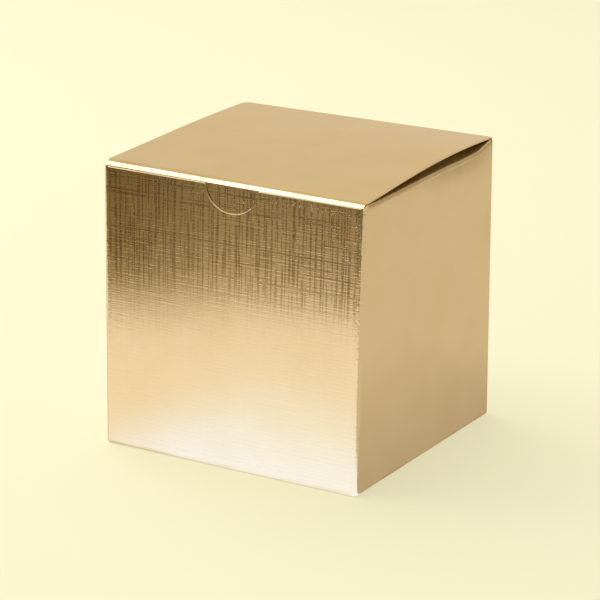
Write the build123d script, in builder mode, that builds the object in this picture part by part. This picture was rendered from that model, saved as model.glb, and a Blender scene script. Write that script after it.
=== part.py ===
from build123d import *

import os
from math import asin, cos, degrees, radians, sin

# A one-piece tuck-top favor box of folding board, closed. The blank is split at its creases: panels
# are flat sheets, creases are ring sectors of the same board that meet the panels face to face.
# X runs left to right, Y from front to back, Z up; the origin is under the middle of the box.

# Outside of the closed box
box_width = 100.0
box_depth = 96.0
box_height = 102.0

# Board thickness, and the outside radius of each kind of fold
board = 0.5
corner_fold = 1.5
base_fold = 1.2
lid_fold = 1.2
tuck_fold = 2.0
dust_fold = 1.2

# Room between sheets that lie, slide or swing beside each other
sheet_gap = 0.1
edge_gap = 0.5
slide_gap = 0.35
swing_gap = 0.2
glue_thickness = 0.1

# Thumb notch, half round, in the middle of the front wall's top edge
notch_radius = 10.0
notch_lip_radius = 0.8

# Lid and the tuck flap that rolls over its front edge and goes down behind the front wall
lid_side_gap = 0.3
tuck_length = 20.0
tuck_side_gap = 2.0
tuck_corner = 8.0
tuck_spare_lean = 1.0
front_corner_drop = 1.0

# Dust flaps, folded in from the side walls under the lid
dust_drop = 2.0
dust_tip_gap = 0.4
dust_length = 38.0
dust_front_room = 1.5
dust_back_room = 3.0
dust_front_slope = 0.08
dust_back_slope = 0.6
dust_corner = 7.0

# Glue flap on the left wall, behind the back wall
seam_inset = 0.3
glue_flap_width = 13.0
glue_flap_inset = 6.0
glue_flap_slope = 0.6
glue_margin = 2.0

# Snap-lock bottom: front panel with a tongue, two side panels, back panel with a slot
front_reach = 45.0
tongue_ramp = 9.0
tongue_overlap = 16.0
tongue_corner = 5.0
side_reach = 24.0
side_ramp = 6.0
base_land = 1.0
side_front_inset = 4.0
side_back_slope = 0.35
back_ramp = 8.0
slot_side_gap = 1.5
leg_length = 20.0
leg_corner = 4.0

# Faces, edges and fold centres that several pieces share
half_width = box_width / 2
half_depth = box_depth / 2
corner_x = half_width - corner_fold
corner_y = half_depth - corner_fold
seam_y = half_depth - board - glue_thickness - corner_fold
lid_axis_y = half_depth - lid_fold
lid_axis_z = box_height - lid_fold
back_top = lid_axis_z - lid_fold - swing_gap
tuck_axis_y = -half_depth + board + slide_gap + tuck_fold
tuck_axis_z = box_height - tuck_fold
front_top = tuck_axis_z
front_corner_top = front_top - front_corner_drop
dust_axis_x = half_width - dust_fold
dust_axis_z = box_height - board - dust_drop - dust_fold
base_axis_x = half_width - base_fold
base_axis_y = half_depth - base_fold
base_step = board + sheet_gap

# The tuck flap leans in by the angle that lets it draw out clear of the front wall along the lid's arc.
lid_reach = lid_axis_y - tuck_axis_y
tuck_lean = degrees(tuck_length / lid_reach) + tuck_spare_lean
# The dust flaps rise from their folds until their tips are just under the lid.
dust_rise = degrees(asin((dust_drop - dust_tip_gap) / dust_length))
dust_leg = dust_fold * sin(radians(dust_rise)) + swing_gap
side_top = dust_axis_z - dust_leg


def fold(section, radius, start_angle, sweep, length, leg=0.0):
    """A crease: a ring sector of board about the section plane's origin, run along the plane's normal.

    A leg is a straight run of board before the sector, for a crease that has to stand clear of its wall.
    """
    with BuildPart() as strip:
        with BuildSketch(section):
            with BuildLine():
                outer = CenterArc((0, 0), radius, start_angle, sweep)
                inner = CenterArc((0, 0), radius - board, start_angle, sweep)
                Line(outer @ 0, inner @ 0)
                Line(outer @ 1, inner @ 1)
            make_face()
            if leg:
                with Locations((radius, 0)):
                    Rectangle(board, leg, align=(Align.MAX, Align.MAX))
        extrude(amount=length)
    return strip


def mirrored(piece):
    """The same piece on the other side of the box."""
    with BuildPart() as other:
        add(piece.part)
        mirror(about=Plane.YZ, mode=Mode.REPLACE)
    return other


def across(half_length, y, z):
    """Section plane of a crease that runs along X from -half_length, with Y and Z as its own axes."""
    return Plane(origin=(-half_length, y, z), x_dir=(0, 1, 0), z_dir=(1, 0, 0))


def along(x, back_y, z):
    """Section plane of a crease that runs forwards from back_y, with X and Z as its own axes."""
    return Plane(origin=(x, back_y, z), x_dir=(1, 0, 0), z_dir=(0, -1, 0))


def upright(x, y):
    """Section plane of a crease that stands on the table, with X and Y as its own axes."""
    return Plane(origin=(x, y, 0), x_dir=(1, 0, 0), z_dir=(0, 0, 1))


# Walls
with BuildPart() as front_wall:
    with BuildSketch(Plane.XZ.offset(half_depth)) as front_outline:
        with Locations((0, base_fold)):
            Rectangle(2 * corner_x, front_top - base_fold, align=(Align.CENTER, Align.MIN))
        with Locations((0, front_top)):
            Circle(notch_radius, mode=Mode.SUBTRACT)
        notch_ends = front_outline.vertices().group_by(Axis.Y)[-1].sort_by(Axis.X)[1:3]
        fillet(notch_ends, notch_lip_radius)
    extrude(amount=-board)

with BuildPart() as right_wall:
    with BuildSketch(Plane.YZ.offset(half_width)):
        with Locations((-corner_y, base_fold)):
            Rectangle(2 * corner_y, side_top - base_fold, align=Align.MIN)
    extrude(amount=-board)

with BuildPart() as left_wall:
    with BuildSketch(Plane.YZ.offset(-half_width)):
        with Locations((-corner_y, base_fold)):
            Rectangle(corner_y + seam_y, side_top - base_fold, align=Align.MIN)
    extrude(amount=board)

with BuildPart() as back_wall:
    with BuildSketch(Plane.XZ.offset(-half_depth)):
        with Locations((seam_inset - half_width, base_fold)):
            Rectangle(half_width - seam_inset + corner_x, back_top - base_fold, align=Align.MIN)
    extrude(amount=board)

# Upright creases between the walls
front_left_crease = fold(upright(-corner_x, -corner_y), corner_fold, 180, 90, front_corner_top)
front_right_crease = fold(upright(corner_x, -corner_y), corner_fold, 270, 90, front_corner_top)
back_right_crease = fold(upright(corner_x, corner_y), corner_fold, 0, 90, back_top)

# Glue flap, its crease and the glue that holds the seam
glue_flap_crease = fold(upright(-corner_x, seam_y), corner_fold, 90, 90, back_top)
glue_face_y = half_depth - board - glue_thickness
glue_flap_end = glue_flap_inset + glue_flap_slope * glue_flap_width

with BuildPart() as glue_flap:
    with BuildSketch(Plane.XZ.offset(-glue_face_y)):
        with BuildLine():
            Polyline(
                (-corner_x, glue_flap_inset),
                (-corner_x + glue_flap_width, glue_flap_end),
                (-corner_x + glue_flap_width, back_top - glue_flap_end),
                (-corner_x, back_top - glue_flap_inset),
                close=True,
            )
        make_face()
    extrude(amount=board)

with BuildPart() as glue_line:
    with BuildSketch(Plane.XZ.offset(-glue_face_y)):
        with Locations((-corner_x + glue_margin, glue_flap_end + glue_margin)):
            Rectangle(
                glue_flap_width - 2 * glue_margin,
                back_top - 2 * (glue_flap_end + glue_margin),
                align=Align.MIN,
            )
    extrude(amount=-glue_thickness)

# Lid
lid_half_width = half_width - lid_side_gap

with BuildPart() as lid_panel:
    with BuildSketch(Plane.XY.offset(box_height)):
        with Locations((0, tuck_axis_y)):
            Rectangle(2 * lid_half_width, lid_reach, align=(Align.CENTER, Align.MIN))
    extrude(amount=-board)

lid_crease = fold(
    across(corner_x, lid_axis_y, lid_axis_z), lid_fold, 0, 90, 2 * corner_x, leg=lid_fold + swing_gap
)

# Rolled front of the lid, and the tuck flap that goes on from it behind the front wall
tuck_crease = fold(
    across(lid_half_width, tuck_axis_y, tuck_axis_z), tuck_fold, 90, 90 + tuck_lean, 2 * lid_half_width
)
tuck_out = Vector(0, -cos(radians(tuck_lean)), -sin(radians(tuck_lean)))
tuck_start = Vector(0, tuck_axis_y, tuck_axis_z) + tuck_out * tuck_fold
tuck_face = Plane(origin=tuck_start, x_dir=(1, 0, 0), z_dir=tuck_out)

with BuildPart() as tuck_flap:
    with BuildSketch(tuck_face) as tuck_outline:
        Rectangle(2 * (half_width - tuck_side_gap), tuck_length, align=(Align.CENTER, Align.MAX))
        fillet(tuck_outline.vertices().group_by(Axis.Y)[0], tuck_corner)
    extrude(amount=-board)

# Dust flaps and their creases
right_dust_crease = fold(
    along(dust_axis_x, corner_y, dust_axis_z), dust_fold, 0, 90 - dust_rise, 2 * corner_y, leg=dust_leg
)
left_dust_crease = mirrored(
    fold(along(dust_axis_x, seam_y, dust_axis_z), dust_fold, 0, 90 - dust_rise, corner_y + seam_y, leg=dust_leg)
)
dust_up = Vector(sin(radians(dust_rise)), 0, cos(radians(dust_rise)))
dust_start = Vector(dust_axis_x, 0, dust_axis_z) + dust_up * dust_fold
dust_face = Plane(origin=dust_start, x_dir=(0, 1, 0), z_dir=dust_up)
dust_front = tuck_axis_y + dust_front_room
dust_back = lid_axis_y - dust_back_room

with BuildPart() as right_dust_flap:
    with BuildSketch(dust_face) as dust_outline:
        with BuildLine():
            Polyline(
                (dust_front, 0),
                (dust_back, 0),
                (dust_back - dust_back_slope * dust_length, dust_length),
                (dust_front + dust_front_slope * dust_length, dust_length),
                close=True,
            )
        make_face()
        fillet(dust_outline.vertices().group_by(Axis.Y)[-1], dust_corner)
    extrude(amount=-board)

left_dust_flap = mirrored(right_dust_flap)

# Creases under the walls
front_base_crease = fold(across(corner_x, -base_axis_y, base_fold), base_fold, 180, 90, 2 * corner_x)
back_base_crease = fold(across(corner_x, base_axis_y, base_fold), base_fold, 270, 90, 2 * corner_x)
right_base_crease = fold(along(base_axis_x, corner_y, base_fold), base_fold, 270, 90, 2 * corner_y)
left_base_crease = fold(along(-base_axis_x, seam_y, base_fold), base_fold, 180, 90, corner_y + seam_y)

# Snap-lock bottom. All four panels leave their creases at table height. The front panel stays lowest,
# the side panels ramp up to lie on it and the back panel ramps up to lie on them. The front panel's
# tongue comes up through the back panel's slot and lies on top, which locks the bottom.
front_shoulder_y = front_reach - half_depth
slot_y = front_shoulder_y + tongue_ramp + edge_gap
leg_y = slot_y - leg_length
tongue_end_y = slot_y + tongue_overlap
tongue_half_width = base_axis_x - side_reach - edge_gap
slot_half_width = tongue_half_width + slot_side_gap
panel_half_width = corner_x - edge_gap
front_panel_half_width = base_axis_x - base_land - side_ramp - edge_gap
side_back_y = base_axis_y - base_land - back_ramp - edge_gap
side_level = base_step
back_level = 2 * base_step
tongue_level = 3 * base_step
stack_height = tongue_level + board


def sheet_section(start, ramp_start, ramp_end, end, level):
    """Section of a base panel: flat on the table, ramped up to level, then flat again."""
    with BuildSketch(mode=Mode.PRIVATE) as section:
        with BuildLine():
            Polyline(
                (start, 0),
                (ramp_start, 0),
                (ramp_end, level),
                (end, level),
                (end, level + board),
                (ramp_end, level + board),
                (ramp_start, board),
                (start, board),
                close=True,
            )
        make_face()
    return section.sketch


front_section = sheet_section(
    -base_axis_y, front_shoulder_y, front_shoulder_y + tongue_ramp, tongue_end_y, tongue_level
)
side_section = sheet_section(0, base_land, base_land + side_ramp, side_reach, side_level)
back_section = sheet_section(0, base_land, base_land + back_ramp, base_axis_y - leg_y, back_level)

with BuildPart() as front_base_panel:
    with BuildSketch(Plane.YZ):
        add(front_section)
    extrude(amount=half_width, both=True)
    with BuildSketch() as front_panel_outline:
        with BuildLine():
            Polyline(
                (0, -base_axis_y),
                (panel_half_width, -base_axis_y),
                (front_panel_half_width, -base_axis_y + panel_half_width - front_panel_half_width),
                (front_panel_half_width, front_shoulder_y),
                (tongue_half_width, front_shoulder_y),
                (tongue_half_width, tongue_end_y),
                (0, tongue_end_y),
                close=True,
            )
        make_face()
        mirror(about=Plane.YZ)
        fillet(front_panel_outline.vertices().group_by(Axis.Y)[-1], tongue_corner)
    extrude(amount=stack_height, mode=Mode.INTERSECT)

with BuildPart() as right_base_panel:
    with BuildSketch(Plane(origin=(base_axis_x, 0, 0), x_dir=(-1, 0, 0), z_dir=(0, 1, 0))):
        add(side_section)
    extrude(amount=half_depth, both=True)
    with BuildSketch():
        with BuildLine():
            Polyline(
                (base_axis_x, -base_axis_y + side_front_inset),
                (base_axis_x, side_back_y),
                (base_axis_x - side_reach, side_back_y - side_back_slope * side_reach),
                (base_axis_x - side_reach, -base_axis_y + side_front_inset + side_reach),
                close=True,
            )
        make_face()
    extrude(amount=stack_height, mode=Mode.INTERSECT)

left_base_panel = mirrored(right_base_panel)

with BuildPart() as back_base_panel:
    with BuildSketch(Plane(origin=(0, base_axis_y, 0), x_dir=(0, -1, 0), z_dir=(-1, 0, 0))):
        add(back_section)
    extrude(amount=half_width, both=True)
    with BuildSketch() as back_panel_outline:
        with BuildLine():
            Polyline(
                (0, base_axis_y),
                (panel_half_width, base_axis_y),
                (panel_half_width, leg_y),
                (slot_half_width, leg_y),
                (slot_half_width, slot_y),
                (0, slot_y),
                close=True,
            )
        make_face()
        mirror(about=Plane.YZ)
        fillet(back_panel_outline.vertices().group_by(Axis.Y)[0], leg_corner)
    extrude(amount=stack_height, mode=Mode.INTERSECT)

pieces = {
    "front_wall": front_wall,
    "right_wall": right_wall,
    "back_wall": back_wall,
    "left_wall": left_wall,
    "front_left_crease": front_left_crease,
    "front_right_crease": front_right_crease,
    "back_right_crease": back_right_crease,
    "glue_flap_crease": glue_flap_crease,
    "glue_flap": glue_flap,
    "glue_line": glue_line,
    "lid_panel": lid_panel,
    "lid_crease": lid_crease,
    "tuck_crease": tuck_crease,
    "tuck_flap": tuck_flap,
    "right_dust_flap": right_dust_flap,
    "left_dust_flap": left_dust_flap,
    "right_dust_crease": right_dust_crease,
    "left_dust_crease": left_dust_crease,
    "front_base_crease": front_base_crease,
    "back_base_crease": back_base_crease,
    "right_base_crease": right_base_crease,
    "left_base_crease": left_base_crease,
    "front_base_panel": front_base_panel,
    "back_base_panel": back_base_panel,
    "right_base_panel": right_base_panel,
    "left_base_panel": left_base_panel,
}
os.makedirs("parts", exist_ok=True)
for name, piece in pieces.items():
    piece.part.label = name
    export_step(piece.part, f"parts/{name}.step")
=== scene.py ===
import bpy
import numpy as np
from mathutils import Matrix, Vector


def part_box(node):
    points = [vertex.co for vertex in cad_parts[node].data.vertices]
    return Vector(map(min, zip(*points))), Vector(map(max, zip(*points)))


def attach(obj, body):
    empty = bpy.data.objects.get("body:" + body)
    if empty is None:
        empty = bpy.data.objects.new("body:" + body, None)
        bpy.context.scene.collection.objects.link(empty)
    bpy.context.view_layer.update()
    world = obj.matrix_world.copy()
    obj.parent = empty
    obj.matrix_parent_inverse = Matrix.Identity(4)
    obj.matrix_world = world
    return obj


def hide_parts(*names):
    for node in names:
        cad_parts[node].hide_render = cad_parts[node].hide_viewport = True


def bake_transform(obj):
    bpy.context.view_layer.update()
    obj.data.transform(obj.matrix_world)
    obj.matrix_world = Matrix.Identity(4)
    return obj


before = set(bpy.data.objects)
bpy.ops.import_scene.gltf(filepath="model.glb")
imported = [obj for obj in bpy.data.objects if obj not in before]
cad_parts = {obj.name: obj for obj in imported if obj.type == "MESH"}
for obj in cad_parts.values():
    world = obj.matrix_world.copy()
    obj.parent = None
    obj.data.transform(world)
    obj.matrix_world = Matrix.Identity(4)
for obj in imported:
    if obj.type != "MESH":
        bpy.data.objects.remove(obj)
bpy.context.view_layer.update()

# Front wall: the first panel of the one-piece blank, cut from 0.5 mm folding board with gold foil outside.
# The foil is embossed with linen threads, and a half-round thumb notch is die-cut in the top edge. The die
# crushes the cut edges a little, so a thin cream line of core shows round them, except up the notch's
# steep sides, where the edge keeps the foil as painted shade.
MM = 0.001


def corners(node):
    """Lowest and highest corner of a CAD node at rest, in millimetres."""
    return [np.array(corner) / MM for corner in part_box(node)]


def feed(tree, node, inputs):
    """Links each input of a shader node to a socket, or gives it a value."""
    for socket, value in inputs.items():
        if isinstance(value, bpy.types.NodeSocket):
            tree.links.new(value, node.inputs[socket])
        else:
            node.inputs[socket].default_value = value


def add_node(tree, kind, inputs=None, **fields):
    """One shader node, with its fields set and its inputs fed."""
    made = tree.nodes.new("ShaderNode" + kind)
    for field, value in fields.items():
        setattr(made, field, value)
    feed(tree, made, inputs or {})
    return made


def math_node(tree, operation, first, second=0.0, third=0.0):
    """Result of one arithmetic step on sockets or numbers."""
    return add_node(tree, "Math", {0: first, 1: second, 2: third}, operation=operation).outputs[0]


def product(tree, first, second):
    """Product of two sockets or numbers."""
    return math_node(tree, "MULTIPLY", first, second)


def stretched_noise(tree, place, across, along, detail=1.0, seed=0.0):
    """Noise over the blank, with grains across and along millimetres in size; the seed shifts it."""
    grains = {"Vector": place, "Scale": (1 / across, 1 / along, 1.0), "Location": (seed, seed, 0.0)}
    noise = {"Vector": add_node(tree, "Mapping", grains).outputs[0], "Scale": 1.0, "Detail": detail}
    return add_node(tree, "TexNoise", noise, noise_dimensions="2D").outputs[0]


def eased(tree, value, low, high, to_low=0.0, to_high=1.0):
    """Smooth step of a socket: to_low at low, to_high at high."""
    inputs = {"Value": value, "From Min": low, "From Max": high, "To Min": to_low, "To Max": to_high}
    return add_node(tree, "MapRange", inputs, interpolation_type="SMOOTHSTEP").outputs[0]


def bell(tree, value, middle, width):
    """Bell curve of a socket, 1 at the middle."""
    off = math_node(tree, "DIVIDE", math_node(tree, "SUBTRACT", value, middle), width)
    return math_node(tree, "EXPONENT", product(tree, product(tree, off, off), -1.0))


def two_tone(tree, share, first, second):
    """Colour between two tones."""
    tones = {"Factor": share, "A": (*first, 1.0), "B": (*second, 1.0)}
    return add_node(tree, "Mix", tones, data_type="RGBA").outputs["Result"]


def new_finish(name):
    """Empty node material with its Principled shader."""
    finish = bpy.data.materials.new(name)
    finish.use_nodes = True
    return finish, finish.node_tree, finish.node_tree.nodes["Principled BSDF"]


EDGE_TINT = (0.886, 0.795, 0.653)
# Gaps between threads: pitch, width, length, steepness of the foil in them, seed.
UPRIGHT_GAPS = ((2.05, 0.30, 20.0, 0.064, 14.7), (1.35, 0.25, 10.0, 0.054, 20.0))
LEVEL_GAPS = ((4.4, 0.24, 17.0, 0.050, 41.9),)
GAP_SCATTER, GAP_SPAN = 0.85, (0.36, 0.58)
# Level threads: pitch, length, height, the noise where they start and where they are whole, seed.
LEVEL_THREADS = (
    (1.20, 2.6, 0.0022, 0.34, 0.66, 4.1),
    (2.70, 14.0, 0.0044, 0.48, 0.66, 9.4),
    (1.05, 1.7, 0.0058, 0.45, 0.63, 14.7),
)
MASK_SEED = 2.3
THREAD_DRIFT, DRIFT_GRAIN = 3.0, (400.0, 4.0)
THREAD_SKEW, THREAD_GRAIN = 0.5, 0.9
CROSSING_FULL, CROSSING_FILL = 0.8, 0.6
DEEP_SPAN, DEEP_LEAST, DEEP_MOST = (52.0, 84.0), 0.42, 1.1
STEEP_SPAN, STEEP_LEAST = (56.0, 75.0), 0.1
LEFT_SPAN, LEFT_MORE = (-42.0, -6.0), 0.5
LEFT_TOP, LEFT_LEAST = (66.0, 88.0), 0.1
CRUMPLE_GRAIN, CRUMPLE_SEED = (9.0, 9.0), 31.0
WORN_EDGE, WORN_WIDTH, WORN_HEIGHT = 49.3, 1.5, 0.08
FRAY_GRAIN, FRAY_SEED = (1.0, 1.8), 3.7
TONE_GRAIN, TONE_SPAN, PAINTED_THREAD_SHADE = (22.0, 22.0), (0.3, 0.75), 0.35
DULL_GRAIN, DULL_SEED, DULL_SPAN, DULL_RANGE = (5.0, 7.0), 7.0, (0.25, 0.8), (-0.02, 0.03)


def thread_gap(tree, place, pitch, width, length, seed):
    """Share of the foil that is drawn down into the gaps between threads, 1 in the middle of a gap.

    Each pitch of the blank holds one gap, at a random place in it. The share over it is a bell curve of
    the fourth power of the distance, which is flat on top. A noise one pitch wide and one length long
    weakens it, so that threads come and go.
    """
    across = math_node(tree, "DIVIDE", add_node(tree, "SeparateXYZ", {0: place}).outputs["X"], pitch)
    across = math_node(tree, "ADD", across, seed)
    cell_inputs = {"W": across, "Scale": 1.0, "Randomness": GAP_SCATTER}
    cell = add_node(tree, "TexVoronoi", cell_inputs, voronoi_dimensions="1D")
    off = product(tree, math_node(tree, "SUBTRACT", across, cell.outputs["W"]), pitch / width)
    kept = stretched_noise(tree, place, pitch, length, seed=MASK_SEED * seed)
    share = bell(tree, math_node(tree, "POWER", off, 4.0), 0.0, 1.0)
    return product(tree, share, eased(tree, kept, *GAP_SPAN))


def level_ridges(tree, place, pitch, length, weak, full, seed, skew):
    """Ridges of one set of level threads, from -1 between threads to 1 on them.

    The height is a sine across the threads, skewed so that each thread is steep below and gentle above. A
    slow noise shifts its phase, so the pitch is uneven while the lines stay straight. A noise one length
    long and about one thread high lets them come and go: they are gone where it is under weak, and whole
    over full.
    """
    up = add_node(tree, "SeparateXYZ", {0: place}).outputs["Y"]
    drift = stretched_noise(tree, place, *DRIFT_GRAIN, seed=seed)
    moved = math_node(tree, "ADD", up, product(tree, drift, THREAD_DRIFT))
    turn = product(tree, moved, 2 * np.pi / pitch)
    turn = math_node(tree, "MULTIPLY_ADD", math_node(tree, "SINE", turn), skew, turn)
    kept = stretched_noise(tree, place, length, THREAD_GRAIN * pitch, seed=MASK_SEED * seed)
    return product(tree, math_node(tree, "SINE", turn), eased(tree, kept, weak, full))


def linen_foil(name, gold, deep_gold, threads=1.0, crumple=0.018, rough=0.13, lean=1.0):
    """Gold foil with linen emboss.

    In the gaps between threads the foil is drawn so that it faces up the blank a little, or down it with
    lean -1. Each spot takes the steepest of its sets of gaps, and less of it where a level thread
    crosses. The height in millimetres on top of that is the sum of the sets of level ridges, a broad
    crumple, and a fray that a bell curve keeps to the front folds. The threads are pressed deeper towards
    the top of the walls and, under it, to the left. Colour and roughness vary by a few percent, and the
    colour goes towards the deeper gold along the first set of level threads: painted shade of the emboss.
    """
    finish, tree, shader = new_finish(name)
    blank = add_node(tree, "UVMap", uv_map="board_mm").outputs[0]
    apart = add_node(tree, "SeparateXYZ", {0: blank})
    sideways, up = apart.outputs["X"], apart.outputs["Y"]
    at_left = eased(tree, sideways, *LEFT_SPAN, LEFT_MORE, 0.0)
    under_top = eased(tree, up, *LEFT_TOP, 1.0, LEFT_LEAST)
    deeper = math_node(tree, "MULTIPLY_ADD", at_left, under_top, 1.0)
    pressed = eased(tree, up, *DEEP_SPAN, DEEP_LEAST * threads, DEEP_MOST * threads)
    leaning = eased(tree, up, *STEEP_SPAN, STEEP_LEAST * threads, threads)
    pressed, leaning = product(tree, pressed, deeper), product(tree, leaning, deeper)

    relief = product(tree, stretched_noise(tree, blank, *CRUMPLE_GRAIN, 2.0, CRUMPLE_SEED), crumple)
    ridges = []
    for pitch, length, height, weak, full, seed in LEVEL_THREADS:
        ridges.append(level_ridges(tree, blank, pitch, length, weak, full, seed, lean * THREAD_SKEW))
        relief = math_node(tree, "MULTIPLY_ADD", product(tree, ridges[-1], height), pressed, relief)
    fray = product(tree, stretched_noise(tree, blank, *FRAY_GRAIN, 2.0, FRAY_SEED), WORN_HEIGHT)
    worn = bell(tree, math_node(tree, "ABSOLUTE", sideways), WORN_EDGE, WORN_WIDTH)
    relief = math_node(tree, "MULTIPLY_ADD", fray, worn, relief)

    steepest = 0.0
    level_blank = add_node(tree, "CombineXYZ", {0: up, 1: sideways}).outputs[0]
    for place, gaps in ((blank, UPRIGHT_GAPS), (level_blank, LEVEL_GAPS)):
        for pitch, width, length, steepness, seed in gaps:
            slope = product(tree, thread_gap(tree, place, pitch, width, length, seed), steepness)
            steepest = math_node(tree, "MAXIMUM", slope, steepest)
    crossing = eased(tree, ridges[0], 0.0, CROSSING_FULL, 1.0, 1.0 - CROSSING_FILL)
    steepest = product(tree, product(tree, steepest, leaning), crossing)
    tilt = math_node(tree, "MULTIPLY_ADD", steepest, 0.5 * lean, 0.5)
    tilted = add_node(tree, "CombineColor", {0: 0.5, 1: tilt, 2: 1.0}).outputs[0]
    grooved = add_node(tree, "NormalMap", {"Color": tilted}, uv_map="board_mm").outputs[0]
    bump = add_node(tree, "Bump", {"Height": relief, "Strength": 1.0, "Distance": MM, "Normal": grooved})

    tone = stretched_noise(tree, blank, *TONE_GRAIN, 4.0)
    # The first set of level threads deepens the colour a little: painted shade of the emboss.
    tone = math_node(tree, "ADD", tone, product(tree, ridges[0], PAINTED_THREAD_SHADE * threads))
    dulled = stretched_noise(tree, blank, *DULL_GRAIN, 3.0, DULL_SEED)
    least, most = (rough + change for change in DULL_RANGE)
    feed(tree, shader, {
        "Base Color": two_tone(tree, eased(tree, tone, *TONE_SPAN), gold, deep_gold),
        "Metallic": 1.0,
        "Roughness": eased(tree, dulled, *DULL_SPAN, least, most),
        "Specular Tint": (*EDGE_TINT, 1.0),
        "Normal": bump.outputs[0],
    })
    return finish


FIBRE_FLATNESS, FIBRE_SPAN, FIBRE_STRENGTH, FIBRE_HEIGHT = 0.4, (0.3, 0.7), 0.6, 0.02 * MM


def paper(name, pale, shaded, grain, rough):
    """Matt board: two close tones of fibre noise, with a slight fibre relief."""
    finish, tree, shader = new_finish(name)
    blank = add_node(tree, "UVMap", uv_map="board_mm").outputs[0]
    fibres = stretched_noise(tree, blank, grain, FIBRE_FLATNESS * grain, 5.0)
    tone = two_tone(tree, eased(tree, fibres, *FIBRE_SPAN), shaded, pale)
    bump = add_node(tree, "Bump", {"Height": fibres, "Strength": FIBRE_STRENGTH, "Distance": FIBRE_HEIGHT})
    feed(tree, shader, {"Base Color": tone, "Roughness": rough, "Normal": bump.outputs[0]})
    return finish


FOIL_TONES = (0.665, 0.483, 0.243), (0.648, 0.464, 0.226)
CREASED_TONES = (0.655, 0.470, 0.230), (0.585, 0.385, 0.165)
linen_gold = linen_foil("linen_gold", *FOIL_TONES)
calm_gold = linen_foil("calm_gold", *FOIL_TONES, threads=0.12, rough=0.15)
creased_gold = linen_foil("creased_gold", *CREASED_TONES, threads=0.10, crumple=0.09, rough=0.19)
tuck_gold = linen_foil("tuck_gold", *FOIL_TONES, lean=-1.0)
white_inside = paper("white_inside", (0.86, 0.84, 0.79), (0.80, 0.775, 0.715), grain=2.4, rough=0.72)
cut_core = paper("cut_core", (1.0, 0.82, 0.52), (0.92, 0.71, 0.40), grain=0.8, rough=0.85)

front_low, front_high = corners("front_wall")
board = front_high[1] - front_low[1]
LIP_WIDTH, LIP_DEPTH = 0.22, 0.16
SHARP_FOLD = np.radians(35)
TWIST = np.radians(1.8)


def racked(spots):
    """The box stands twisted: levels are turned, evenly from nought at the top to TWIST at the foot."""
    turn = -TWIST * np.clip(1 - spots[:, 2] / front_high[2], 0, 1)
    x, y, z = spots.T
    return np.stack([x * np.cos(turn) - y * np.sin(turn), x * np.sin(turn) + y * np.cos(turn), z], -1)


def lipped(start, end, count):
    """Even steps from start to end, with one lip-wide step at each end."""
    lip = np.sign(end - start) * LIP_WIDTH
    return np.concatenate([[start], np.linspace(start + lip, end - lip, count), [end]])


def on_blank(across, up):
    """Points of the flat blank, from distances across and up in millimetres."""
    return np.stack(np.broadcast_arrays(across, up), -1)


def set_up(name, data):
    """Puts a mesh, a lamp or a camera into the scene."""
    stand = bpy.data.objects.new(name, data)
    bpy.context.scene.collection.objects.link(stand)
    return stand


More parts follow.
